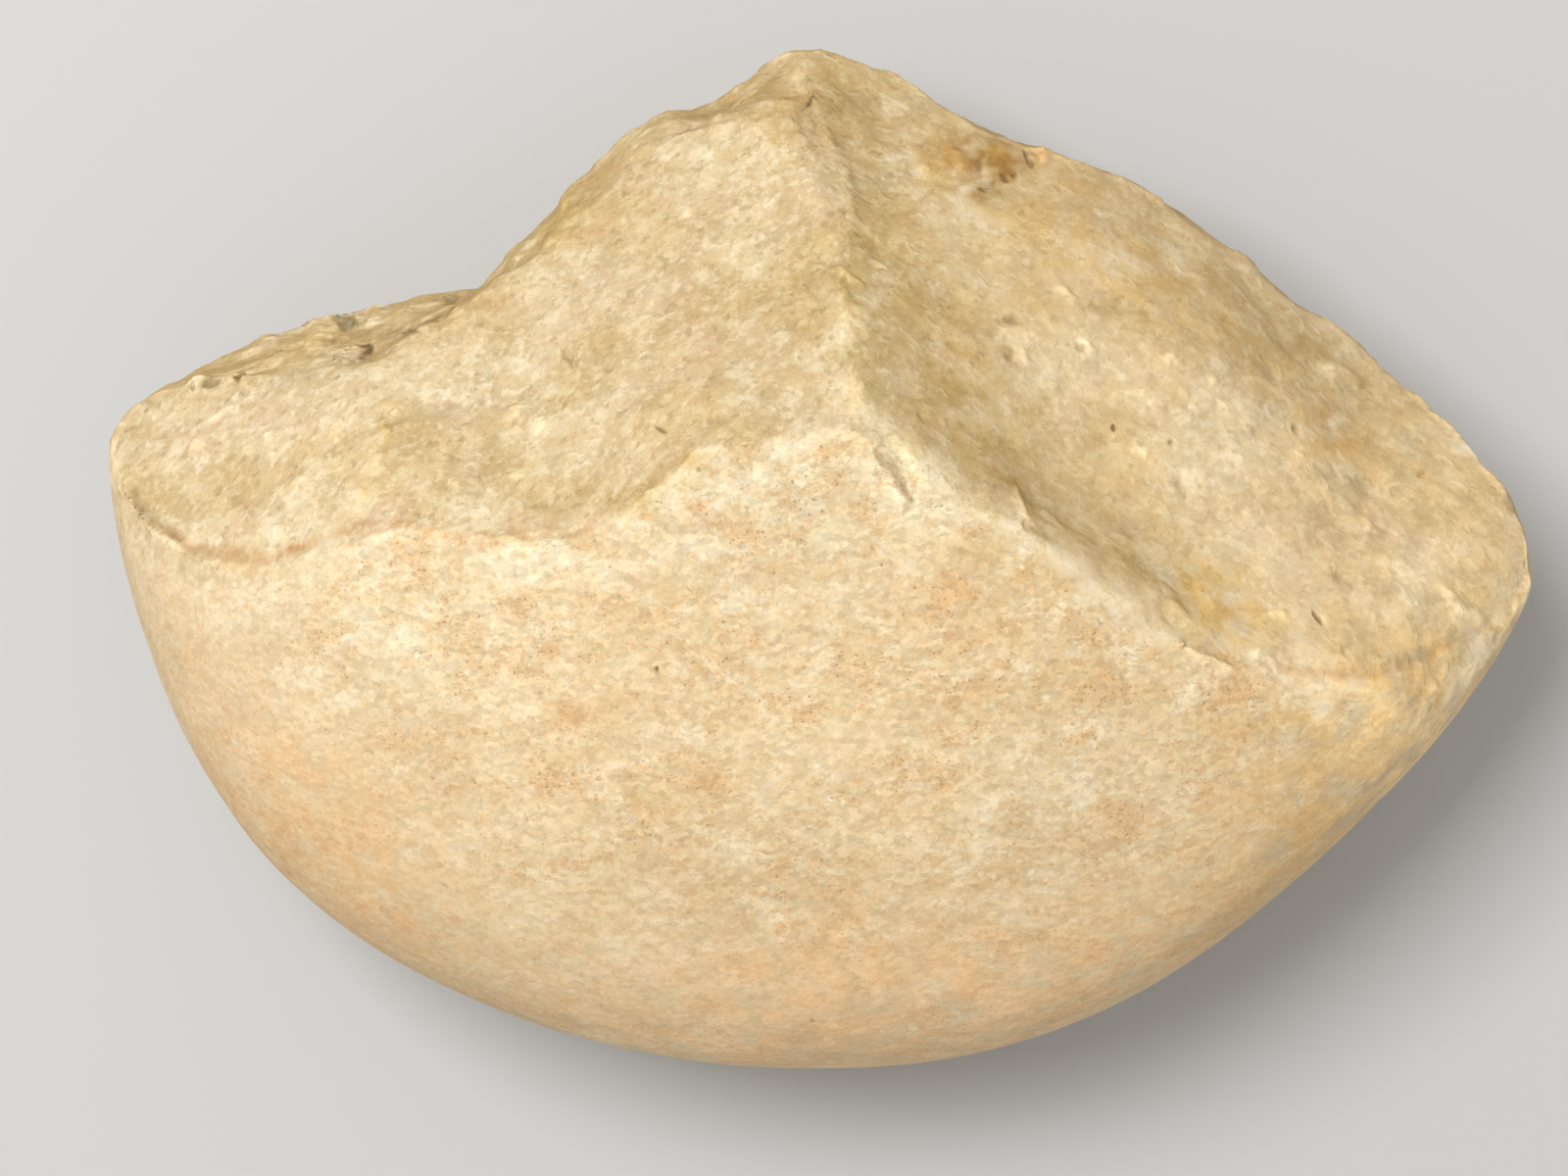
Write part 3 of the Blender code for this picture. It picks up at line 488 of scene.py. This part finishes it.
def split_coarse_faces(bm, tree):
    """Splits the faces of the cube's grid that lie coarser on the solid than is wanted there."""
    bm.verts.index_update()
    laid = np.array([out_on_solid(tree, vert.co) for vert in bm.verts])
    faces = list(bm.faces)
    rings = [[vert.index for vert in face.verts] for face in faces]
    corners = laid[np.array([(ring + ring[-1:] * 6)[:6] for ring in rings])]
    longest = np.linalg.norm(corners - np.roll(corners, 1, axis=1), axis=2).max(axis=1) / MM
    across = np.cross(corners[:, 2] - corners[:, 0], corners[:, 3] - corners[:, 1])
    up = across[:, 2] / np.maximum(np.linalg.norm(across, axis=1), 1e-15)
    coarse = longest > COARSE_SHARE * wanted_spacing(corners.mean(axis=1), up)
    edges = {edge for face, chosen in zip(faces, coarse) if chosen for edge in face.edges}
    bmesh.ops.subdivide_edges(bm, edges=list(edges), cuts=1, use_grid_fill=True)


def fine_mesh(solid):
    """A fine mesh on the solid's surface: finer on the struck front, and finest at the marks."""
    tree = BVHTree.FromPolygons(
        [vert.co for vert in solid.data.vertices], [face.vertices for face in solid.data.polygons])
    bm = bmesh.new()
    bmesh.ops.create_cube(bm, size=2.0)
    bmesh.ops.subdivide_edges(bm, edges=bm.edges[:], cuts=FACES_ALONG_CUBE - 1, use_grid_fill=True)
    for _ in range(SPLITS):
        split_coarse_faces(bm, tree)
    for vert in bm.verts:
        vert.co = out_on_solid(tree, vert.co)
    mesh = bpy.data.meshes.new("worn_stone")
    bm.to_mesh(mesh)
    bm.free()
    return mesh


def read_points(mesh):
    points = np.empty(len(mesh.vertices) * 3)
    mesh.vertices.foreach_get("co", points)
    return points.reshape(-1, 3)


def read_normals(mesh):
    normals = np.empty(len(mesh.vertices) * 3)
    mesh.vertices.foreach_get("normal", normals)
    return normals.reshape(-1, 3)


def write_points(mesh, points):
    mesh.vertices.foreach_set("co", points.ravel())
    mesh.update()


def crest_of(points, normals, neighbours, reach):
    """How far each point stands out from the form round it, in millimetres."""
    return ((points - worn(points, normals, neighbours, reach)) * normals).sum(axis=1) / MM


def plates(points, size, seed=0.0, rim=0.35):
    """Flat plates side by side, each at a height of its own from -1 to 1, with soft risers."""
    heights = []
    for place in points / size + seed:
        distances, middles = noise.voronoi(Vector(place))
        first, second = (2 * noise.cell(middle * 7.3) for middle in middles[:2])
        apart = min((distances[1] - distances[0]) / rim, 1.0)
        own = 0.5 + 0.5 * apart * apart * (3 - 2 * apart)
        heights.append(own * first + (1 - own) * second)
    return np.array(heights)


def pushed(place, size, reach, seed):
    """Places moved about at random by up to this reach, for ragged outlines."""
    push = np.stack([noise_at(place, size, seed + step) for step in (0.0, 3.7, 7.1)], axis=1)
    return place + reach * push


def wandering(place):
    """Places in plan, pushed about a little, so that what is drawn on them has ragged edges."""
    x = place[:, 0]
    y = place[:, 1]
    for reach, size, seed_x, seed_y in WANDERING:
        x = x + reach * noise_at(place, size, seed_x)
        y = y + reach * noise_at(place, size, seed_y)
    return x, y


def thinned(width, share):
    """A mark's width on its way: it thins out at both ends."""
    return width * (0.4 + 0.6 * np.sin(np.pi * share) ** 0.7)


def mark_height(mark, x, y):
    """What a mark adds to the relief: it thins out at its ends, and a step has a raised side."""
    distance, share, side = along_path(mark.path, x, y)
    middle = np.sin(np.pi * share) ** 0.7
    near = np.exp(-(distance / thinned(mark.width, share)) ** 2)
    if not mark.fall:
        return mark.height * (0.3 + 0.7 * middle) * near
    slope = np.exp(-distance / thinned(mark.fall, share))
    return mark.height * middle * np.where(side > 0, slope, near)


def left_of_ridge(place):
    """How far each place is to the left of the ridge between the two front scars, in mm."""
    return np.interp(place[:, 1], RIDGE_Y, RIDGE_X) - place[:, 0]


def swells(place, layers):
    """Soft unevenness of several sizes, in millimetres."""
    return sum(height * noise_at(place, size, seed) for height, size, seed in layers)


def scar_relief(place, turn_deg):
    """A broken face: swells and small ragged plates, drawn out along its blow."""
    drawn = stretched(place, turn_deg, GRAIN_STRETCH)
    ragged_place = pushed(drawn, 1.7, 0.9, 1.1)
    relief = swells(drawn, SCAR_SWELLS)
    for height, size, seed, rim in SCAR_PLATES:
        relief += height * plates(ragged_place, size, seed, rim)
    return relief


def front_relief(place):
    """The relief of the two front scars, each drawn out along its own blow."""
    left = smooth_step(-0.5, 0.5, left_of_ridge(place))
    relief = swells(place, FRONT_SWELLS)
    for turn_deg, share in ((LEFT_GRAIN_TURN, left), (RIGHT_GRAIN_TURN, 1 - left)):
        chosen = share > 0
        relief[chosen] += share[chosen] * scar_relief(place[chosen], turn_deg)
    return relief


def edge_relief(place):
    """The steep struck edge and the back: bowls of small flakes, broken by chips."""
    bowls = BOWL_DEPTH * scalloped(place, BOWL_SIZE, 2.3) - BOWL_RAISE
    chips = EDGE_PLATE_HEIGHT * plates(pushed(place, 2.0, 0.9, 5.5), EDGE_PLATE_SIZE, 6.2)
    return bowls + chips + swells(place, EDGE_SWELLS)


def border_distance(points, depth):
    """The distance from the border of the rind, in millimetres: negative on the rind itself."""
    struck = depth > STRUCK_DEPTH
    from_rind = distance_to(points[~struck], points[struck])
    from_scar = distance_to(points[struck], points[~struck])
    border = np.empty(len(points))
    border[struck] = from_rind
    border[~struck] = -from_scar
    return border


def border_chips(place, border):
    """The small bites that are missing along the rind's border."""
    zone = smooth_step(-3.2, -0.4, border) * smooth_step(3.4, 0.8, border)
    bites = smooth_step(-0.3, 0.7, plates(pushed(place, 1.4, 0.9, 3.9), CHIP_SIZE, 8.8, 0.6))
    return CHIP_DEPTH * zone * bites * smooth_step(-0.25, 0.25, noise_at(place, 6.0, 2.7))


def add_relief(mesh, neighbours):
    """Rounds off the solid's edges, then raises the swells, the small flakes and the marks.

    It gives back how deep each point lies under the cobble's own surface, in millimetres.
    """
    points = read_points(mesh)
    normals = read_normals(mesh)
    border = border_distance(points, rind_depth(points))
    points = worn(points, normals, neighbours, WEAR_REACH)
    softened = smooth_step(4.5, 1.5, np.abs(border)) * smooth_step(0.2, 0.5, normals[:, 2])
    points += softened[:, None] * (worn(points, normals, neighbours, BORDER_WEAR_REACH) - points)
    write_points(mesh, points)
    normals = read_normals(mesh)
    place = points / MM
    depth = rind_depth(points)
    scar = smooth_step(0.2, 0.8, depth)
    front = smooth_step(0.35, 0.55, normals[:, 2])
    crest = crest_of(points, normals, neighbours, CREST_REACH)

    broken = front * front_relief(place) + (1 - front) * edge_relief(place)
    relief = (1 - scar) * swells(place, RIND_SWELLS) + scar * broken
    chips = border_chips(place, border) * front * smooth_step(6.0, -2.0, left_of_ridge(place))
    relief -= chips

    nicks = smooth_step(0.15, 0.45, crest) * smooth_step(0.1, 0.5, noise_at(place, 2.4, 4.4))
    relief -= NICK_DEPTH * nicks * smooth_step(-1.5, 0.5, border) * (1 - 0.7 * softened)

    x, y = wandering(place)
    facing = smooth_step(0.05, 0.25, normals[:, 2])
    for mark in STROKES:
        relief += mark_height(mark, x, y) * facing

    relief *= smooth_step(0.0, 2.0, place[:, 2])
    points = points + normals * (relief * MM)[:, None]
    points[:, 2] = np.maximum(points[:, 2], 0.0)
    write_points(mesh, points)
    return depth + chips


def ridge_painted_shade(x, y):
    """How strongly the painted shade, tinted olive, shows to the right of the ridge at each place in
    plan.
    """
    right = -left_of_ridge(np.stack((x, y), axis=1))
    across = smooth_step(-0.3, 0.3, right) * smooth_step(*RIDGE_SHADE_WIDTH, right)
    return RIDGE_SHADE_STRENGTH * across * smooth_step(*RIDGE_SHADE_START, y)


def laid_over(tint, tone, cover):
    """The tint with one more tone on it, as strong at each place as its cover there."""
    return tint + np.clip(cover, 0.0, 1.0)[:, None] * (np.array(tone) - 1.0) * tint


def tint_of(place, up):
    """The colour that stains, marks and some painted light and shade lay over the stone, as a factor on
    its own colour.
    """
    tint = np.ones((len(place), 3))
    ragged = np.clip(0.8 + 1.3 * noise_at(place, 2.2, 9.3) + 0.8 * noise_at(place, 0.9, 1.9), 0.0, 1.3)
    x, y = wandering(place)
    for stain in STAINS:
        turn = math.radians(stain.turn)
        off_x = x - stain.at[0]
        off_y = y - stain.at[1]
        along = (off_x * math.cos(turn) + off_y * math.sin(turn)) / stain.along
        across = (off_y * math.cos(turn) - off_x * math.sin(turn)) / stain.across
        cover = stain.strength * np.exp(-(along ** 2 + across ** 2)) * ragged * (up > 0.0)
        tint = laid_over(tint, stain.tone, cover)
    # painted shade, tinted olive, on the side of the ridge away from the light
    tint = laid_over(tint, OLIVE, ridge_painted_shade(x, y) * (up > 0.0))
    for mark in STROKES:
        distance, share, _ = along_path(mark.path, x, y)
        near = np.exp(-(distance / thinned(mark.width, share)) ** 2)
        cover = mark.strength * near * (0.4 + 0.6 * ragged) * (up > 0.1)
        tint = laid_over(tint, mark.tone, cover)
    return tint


def write_number(mesh, name, values):
    layer = mesh.attributes.new(name, "FLOAT", "POINT")
    layer.data.foreach_set("value", np.asarray(values, dtype=np.float32))


def write_colour(mesh, name, values):
    layer = mesh.attributes.new(name, "FLOAT_COLOR", "POINT")
    alpha = np.ones((len(values), 1))
    layer.data.foreach_set("color", np.hstack((values, alpha)).astype(np.float32).ravel())


def make_stone(solid):
    """The dressed stone: a fine mesh with its relief, and on its points what the finish reads."""
    mesh = fine_mesh(solid)
    edges = np.empty(len(mesh.edges) * 2, dtype=np.int32)
    mesh.edges.foreach_get("vertices", edges)
    neighbours = neighbours_of(edges.reshape(-1, 2), len(mesh.vertices))
    depth = add_relief(mesh, neighbours)
    points = read_points(mesh)
    normals = read_normals(mesh)
    write_number(mesh, "struck", np.clip(depth, -1.0, 4.0))
    crest = crest_of(points, normals, neighbours, CREST_REACH)
    fine_crest = crest_of(points, normals, neighbours, FINE_CREST_REACH)
    border = border_distance(points, depth)
    write_number(mesh, "crest", np.clip(crest + 2.0 * fine_crest, -1.0, 1.0))
    write_number(mesh, "border", np.clip(border, -8.0, 8.0))
    write_number(mesh, "edge", smooth_step(0.66, 0.30, normals[:, 2]))
    write_number(mesh, "left", np.clip(left_of_ridge(points / MM), -20.0, 3.0))
    write_colour(mesh, "tint", tint_of(points / MM, normals[:, 2]))
    mesh.shade_smooth()
    stone = bpy.data.objects.new("worn_stone", mesh)
    bpy.context.scene.collection.objects.link(stone)
    return stone


class Value:
    """An output of a shader node, on which sums are written as Python expressions."""

    def __init__(self, paint, socket):
        self.paint = paint
        self.socket = socket

    def math(self, operation, *terms):
        sockets = dict(enumerate(terms))
        return self.paint.node("ShaderNodeMath", {"operation": operation}, sockets)

    def __add__(self, other):
        return self.math("ADD", self, other)

    def __radd__(self, other):
        return self.math("ADD", other, self)

    def __sub__(self, other):
        return self.math("SUBTRACT", self, other)

    def __rsub__(self, other):
        return self.math("SUBTRACT", other, self)

    def __mul__(self, other):
        return self.math("MULTIPLY", self, other)

    def __rmul__(self, other):
        return self.math("MULTIPLY", other, self)

    def between(self, low, high):
        """0 below low, 1 above high, with soft ends."""
        limits = {"Value": self, "From Min": low, "From Max": high}
        return self.paint.node("ShaderNodeMapRange", {"interpolation_type": "SMOOTHSTEP"}, limits)


class Paint:
    """A material made of nodes."""

    def __init__(self, name):
        self.material = bpy.data.materials.new(name)
        self.material.use_nodes = True
        self.tree = self.material.node_tree
        self.shader = self.tree.nodes["Principled BSDF"]

    def fill(self, socket, value):
        if isinstance(value, Value):
            self.tree.links.new(value.socket, socket)
        else:
            socket.default_value = value

    def node(self, kind, settings, sockets, output=0):
        made = self.tree.nodes.new(kind)
        for name, value in settings.items():
            setattr(made, name, value)
        for name, value in sockets.items():
            self.fill(made.inputs[name], value)
        return Value(self, made.outputs[output])

    def finish(self, **sockets):
        for name, value in sockets.items():
            self.fill(self.shader.inputs[name.replace("_", " ")], value)
        return self.material

    def attribute(self, name, output="Fac"):
        return self.node("ShaderNodeAttribute", {"attribute_name": name}, {}, output)

    def turned(self, place, turn_deg, stretch):
        """The place in a frame that draws textures out along one direction in plan."""
        turn = (0.0, 0.0, -math.radians(turn_deg))
        back = self.node("ShaderNodeMapping", {}, {"Vector": place, "Rotation": turn})
        return self.node("ShaderNodeMapping", {}, {"Vector": back, "Scale": (1 / stretch, 1.0, 1.0)})

    def shifted(self, place, distance):
        """The place moved off by a distance in metres, for a noise of its own."""
        return self.node("ShaderNodeMapping", {}, {"Vector": place, "Location": (distance,) * 3})

    def blend(self, share, first, second):
        """A place between two places."""
        return self.node("ShaderNodeMix", {"data_type": "VECTOR"}, {0: share, 4: first, 5: second}, 1)

    def noise(self, place, size, detail=2.0, roughness=0.5):
        """Soft noise from 0 to 1 with swells of about this size, in metres."""
        sockets = {"Vector": place, "Scale": 1 / size, "Detail": detail, "Roughness": roughness}
        return self.node("ShaderNodeTexNoise", {}, sockets)

    def ragged(self, place, size, reach):
        """The place pushed about at random, so that grains drawn on it have ragged outlines."""
        push = self.node("ShaderNodeTexNoise", {}, {"Vector": place, "Scale": 1 / size}, "Color")
        sockets = {0: push, 1: (reach,) * 3, 2: place}
        return self.node("ShaderNodeVectorMath", {"operation": "MULTIPLY_ADD"}, sockets)

    def grains(self, place, size):
        """Three random values from 0 to 1 for each of many small grains."""
        colour = self.node("ShaderNodeTexVoronoi", {}, {"Vector": place, "Scale": 1 / size}, "Color")
        parts = self.node("ShaderNodeSeparateColor", {}, {"Color": colour}).socket.node.outputs
        return [Value(self, part) for part in parts]

    def height(self, place):
        """How high over the floor the place is, in metres."""
        return self.node("ShaderNodeSeparateXYZ", {}, {"Vector": place}, "Z")

    def mix(self, share, first, second):
        """A colour between two colours."""
        sockets = {0: share, 6: first, 7: second}
        return self.node("ShaderNodeMix", {"data_type": "RGBA"}, sockets, 2)

    def scaled(self, colour, factor):
        sockets = {0: colour, "Scale": factor}
        return self.node("ShaderNodeVectorMath", {"operation": "SCALE"}, sockets)

    def times(self, colour, other):
        return self.node("ShaderNodeVectorMath", {"operation": "MULTIPLY"}, {0: colour, 1: other})


# The stone's own colours. The grain and the clouds are factors on them
RIND_CREAM = (0.690, 0.545, 0.325, 1.0)
RIND_TAN = (0.550, 0.400, 0.215, 1.0)
RIND_PEACH = (0.625, 0.415, 0.207, 1.0)
RIND_WHITE = (0.760, 0.655, 0.460, 1.0)
RIND_SPECK = (0.260, 0.170, 0.075, 1.0)
RIND_EVEN = (0.664, 0.513, 0.306, 1.0)
SCAR_SAND = (0.615, 0.475, 0.265, 1.0)
SCAR_PALE = (0.730, 0.610, 0.400, 1.0)
SCAR_DARK = (0.520, 0.390, 0.205, 1.0)
SCAR_SPECK = (0.330, 0.230, 0.110, 1.0)
SCAR_OCHRE = (0.560, 0.400, 0.190, 1.0)
SCAR_ROSE = (0.580, 0.410, 0.240, 1.0)
EDGE_TAN = (0.83, 0.745, 0.52, 1.0)
RIND_GRAIN_DARK = (0.935, 0.875, 0.79, 1.0)
RIND_GRAIN_PALE = (1.065, 1.125, 1.21, 1.0)
SCAR_GRAIN_DARK = (0.930, 0.870, 0.780, 1.0)
SCAR_GRAIN_PALE = (1.070, 1.130, 1.220, 1.0)
SCAR_EVEN = (0.590, 0.455, 0.257, 1.0)
SCAR_CLOUD_DARK = (0.960, 0.930, 0.860, 1.0)
SCAR_CLOUD_PALE = (1.040, 1.070, 1.140, 1.0)
NO_TINT = (1.0, 1.0, 1.0, 1.0)

# How much of what lies under it each layer of the mottling covers at most
TAN_COVER = 0.55
PEACH_COVER = 0.78
WHITE_COVER = 0.65
BORDER_COVER = 0.75
DOT_COVER = 0.65
CALM_RIND_COVER = 0.40
FLECK_COVER = 0.40
OCHRE_COVER = 0.40
ROSE_COVER = 0.60
PALE_GRAIN_COVER = 0.40
DARK_GRAIN_COVER = 0.35
CRUMB_COVER = 0.90
WORM_COVER = 0.60
CALM_SCAR_COVER = 0.28

# The sizes of what the finish draws, and the heights between which the rind grows calmer
RIND_TURN = 8
RIND_STRETCH = 1.4
RAGGED_REACH = 0.5 * MM
RIND_GRAIN = 0.42 * MM
RIND_DOT = 0.28 * MM
RIND_TOP = 47 * MM
RIND_FOOT = 38 * MM
SCAR_GRAIN = 0.45 * MM
FLECK_SIZE = 1.0 * MM
SPECKLE_SIZE = 2 * MM

# How high the finest grain stands, in millimetres, and how much crests lighten, as wear and painted
# highlight, and hollows darken, as painted shade
BUMP_HEIGHT_RIND = 0.05
BUMP_HEIGHT_SCAR = 0.05
BUMP_HEIGHT_FLECK = 0.03
BUMP_HEIGHT_WORM = 0.07
CALM_BUMPS = 0.32
CREST_WEAR_AND_HIGHLIGHT = 0.16
HOLLOW_PAINTED_SHADE = 0.17


def rind_colour(paint, place, border):
    """The water-worn rind: cream, with peach and white mottling at every size, and dark specks."""
    drawn = paint.turned(place, RIND_TURN, RIND_STRETCH)
    ragged_place = paint.ragged(drawn, RAGGED_REACH, RAGGED_REACH)
    tone, hue, spare = paint.grains(ragged_place, RIND_GRAIN)
    clouds = paint.noise(place, 22 * MM, 3.0)
    peach = paint.noise(drawn, 4.5 * MM, 5.0, 0.9) + 0.03 * hue
    white = paint.noise(paint.shifted(drawn, 3), 4 * MM, 5.0, 0.85) + 0.04 * spare
    speckle = paint.noise(paint.shifted(place, 7), SPECKLE_SIZE, 4.0, 1.0)
    colour = paint.mix(TAN_COVER * clouds.between(0.44, 0.66), RIND_CREAM, RIND_TAN)
    colour = paint.mix(PEACH_COVER * peach.between(0.50, 0.60), colour, RIND_PEACH)
    colour = paint.mix(WHITE_COVER * white.between(0.51, 0.65), colour, RIND_WHITE)
    near_border = border.between(-5.0, -0.4) * white.between(0.47, 0.62)
    colour = paint.mix(BORDER_COVER * near_border, colour, RIND_WHITE)
    dots = paint.noise(paint.shifted(place, 11), RIND_DOT, 1.0).between(0.61, 0.70)
    colour = paint.mix(DOT_COVER * dots * peach.between(0.52, 0.60), colour, RIND_SPECK)
    speckles = paint.mix(speckle.between(0.30, 0.70), RIND_GRAIN_DARK, RIND_GRAIN_PALE)
    colour = paint.times(colour, speckles)
    colour = paint.scaled(colour, 0.87 + 0.26 * tone)
    low = paint.height(place).between(RIND_TOP, RIND_FOOT)
    return paint.mix(CALM_RIND_COVER * low, colour, RIND_EVEN)


def scar_colour(paint, drawn, place, flecks, crumbly, worms, calm):
    """The struck faces: sandy, with pale flecks drawn out along each blow, and ochre clouds."""
    pale_fleck, ochre_fleck, rose_fleck = flecks
    ragged_place = paint.ragged(paint.shifted(drawn, 2), RAGGED_REACH, RAGGED_REACH)
    tone, hue, _ = paint.grains(ragged_place, SCAR_GRAIN)
    blotch = paint.noise(drawn, 5 * MM, 5.0, 0.9)
    ochre = paint.noise(paint.shifted(place, 9), 8 * MM, 4.0, 0.75) + 0.05 * ochre_fleck
    rose = paint.noise(paint.shifted(place, 13), 7 * MM, 4.0, 0.75) + 0.05 * rose_fleck
    speckle = paint.noise(paint.shifted(place, 17), SPECKLE_SIZE, 4.0, 1.0)
    colour = paint.mix(blotch.between(0.44, 0.56), SCAR_DARK, SCAR_SAND)
    pale = (pale_fleck + 2.0 * (blotch - 0.5)).between(0.66, 0.92)
    colour = paint.mix(FLECK_COVER * pale, colour, SCAR_PALE)
    colour = paint.mix(OCHRE_COVER * ochre.between(0.53, 0.66), colour, SCAR_OCHRE)
    colour = paint.mix(ROSE_COVER * rose.between(0.53, 0.66), colour, SCAR_ROSE)
    colour = paint.mix(PALE_GRAIN_COVER * hue.between(0.82, 0.92), colour, SCAR_PALE)
    colour = paint.mix(DARK_GRAIN_COVER * tone.between(0.12, 0.02), colour, SCAR_SPECK)
    colour = paint.mix(CRUMB_COVER * crumbly * blotch.between(0.37, 0.52), colour, RIND_WHITE)
    colour = paint.mix(WORM_COVER * worms, colour, SCAR_PALE)
    speckles = paint.mix(speckle.between(0.30, 0.70), SCAR_GRAIN_DARK, SCAR_GRAIN_PALE)
    colour = paint.times(colour, speckles)
    colour = paint.mix(CALM_SCAR_COVER * calm, colour, SCAR_EVEN)
    cloud = paint.noise(paint.shifted(place, 19), 9 * MM, 1.0)
    clouds = paint.mix(cloud.between(0.38, 0.62), SCAR_CLOUD_DARK, SCAR_CLOUD_PALE)
    colour = paint.times(colour, clouds)
    return paint.scaled(colour, 0.97 + 0.06 * tone)


def quartzite():
    """Rind or scar by how deep the place was struck, with crests lighter as wear and painted highlight,
    hollows darker as painted shade, and stains.
    """
    paint = Paint("quartzite")
    place = paint.node("ShaderNodeTexCoord", {}, {}, "Object")
    struck = paint.attribute("struck")
    crest = paint.attribute("crest")
    edge = paint.attribute("edge")
    left = paint.attribute("left") + paint.noise(place, 3 * MM, 3.0)
    border = paint.attribute("border")
    tint = paint.attribute("tint", "Color")
    ragged = paint.noise(place, 1.5 * MM, 4.0) - 0.5
    scar = (struck + 1.1 * ragged).between(0.20, 0.62)
    left_place = paint.turned(place, LEFT_GRAIN_TURN, GRAIN_STRETCH)
    right_place = paint.turned(place, RIGHT_GRAIN_TURN, GRAIN_STRETCH)
    drawn = paint.blend(left.math("GREATER_THAN", left, 0.5), right_place, left_place)
    flecks = paint.grains(paint.ragged(drawn, 0.9 * MM, 0.9 * MM), FLECK_SIZE)
    crumbly = border.between(5.0, 0.8) * left.between(3.0, -1.0)
    bends = paint.noise(paint.ragged(drawn, 0.8 * MM, 0.6 * MM), 2.4 * MM, 1.0) - 0.5
    worms = bends.math("ABSOLUTE", bends).between(0.11, 0.03)
    worms = worms * paint.noise(paint.shifted(drawn, 5), 1.6 * MM, 2.0).between(0.52, 0.66)
    rind = rind_colour(paint, place, border)
    calm = edge.math("MAXIMUM", edge, left.between(-2.0, -14.0))
    colour = paint.mix(scar, rind, scar_colour(paint, drawn, place, flecks, crumbly, worms, calm))
    colour = paint.times(colour, paint.mix(scar * edge, NO_TINT, EDGE_TAN))
    # crests lighter as wear and painted highlight, hollows darker as painted shade
    crest_wear_and_highlight = CREST_WEAR_AND_HIGHLIGHT * crest.between(0.05, 0.60)
    hollow_painted_shade = HOLLOW_PAINTED_SHADE * crest.between(-0.05, -0.60)
    shade = 1.0 + crest_wear_and_highlight - hollow_painted_shade
    colour = paint.times(paint.scaled(colour, shade), tint)
    rind_bumps = BUMP_HEIGHT_RIND * paint.noise(place, 0.5 * MM, 3.0, 0.6)
    scar_bumps = BUMP_HEIGHT_SCAR * paint.noise(drawn, 0.8 * MM, 4.0, 0.7)
    scar_bumps = scar_bumps + BUMP_HEIGHT_FLECK * flecks[0] + BUMP_HEIGHT_WORM * worms
    scar_bumps = scar_bumps * (1.0 - CALM_BUMPS * calm)
    height = rind_bumps + scar * (scar_bumps - rind_bumps)
    bump = paint.node("ShaderNodeBump", {}, {"Height": height, "Distance": MM, "Strength": 1.0})
    roughness = 0.80 - 0.14 * scar + 0.10 * ragged
    return paint.finish(Base_Color=colour, Roughness=roughness, Normal=bump)


def floor_finish():
    paint = Paint("pale_floor")
    return paint.finish(Base_Color=FLOOR_GREY, Roughness=FLOOR_ROUGHNESS)


def make_floor():
    bm = bmesh.new()
    bmesh.ops.create_grid(bm, x_segments=1, y_segments=1, size=FLOOR_HALF)
    mesh = bpy.data.meshes.new("floor")
    bm.to_mesh(mesh)
    bm.free()
    floor = bpy.data.objects.new("floor", mesh)
    bpy.context.scene.collection.objects.link(floor)
    mesh.materials.append(floor_finish())


def make_light(name, place, size, watts, colour):
    """A soft square light that looks at the stone."""
    lamp = bpy.data.lights.new(name, "AREA")
    lamp.size = size
    lamp.energy = watts
    lamp.color = colour
    light = bpy.data.objects.new(name, lamp)
    light.location = place
    light.rotation_mode = "QUATERNION"
    light.rotation_quaternion = (Vector(place) - HEART).to_track_quat("Z", "Y")
    light.visible_camera = False
    bpy.context.scene.collection.objects.link(light)


def make_lights():
    make_light("key", KEY_PLACE, KEY_SIZE, KEY_WATTS, KEY_COLOUR)
    world = bpy.data.worlds.new("soft_room")
    world.use_nodes = True
    sky = world.node_tree.nodes["Background"]
    sky.inputs["Color"].default_value = ROOM_COLOUR
    sky.inputs["Strength"].default_value = ROOM_STRENGTH
    bpy.context.scene.world = world


def make_camera():
    lens = bpy.data.cameras.new("camera")
    lens.sensor_width = SENSOR_WIDTH
    lens.lens = CAMERA_LENS
    lens.clip_start = 0.01
    camera = bpy.data.objects.new("camera", lens)
    camera.location = (CAMERA_X, CAMERA_Y, CAMERA_HEIGHT)
    bpy.context.scene.collection.objects.link(camera)
    bpy.context.scene.camera = camera


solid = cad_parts["chopper"]
stone = make_stone(solid)
stone.data.materials.append(quartzite())
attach(stone, "root")
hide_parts("chopper")
make_floor()
make_lights()
make_camera()
bpy.context.scene.view_settings.view_transform = "Standard"
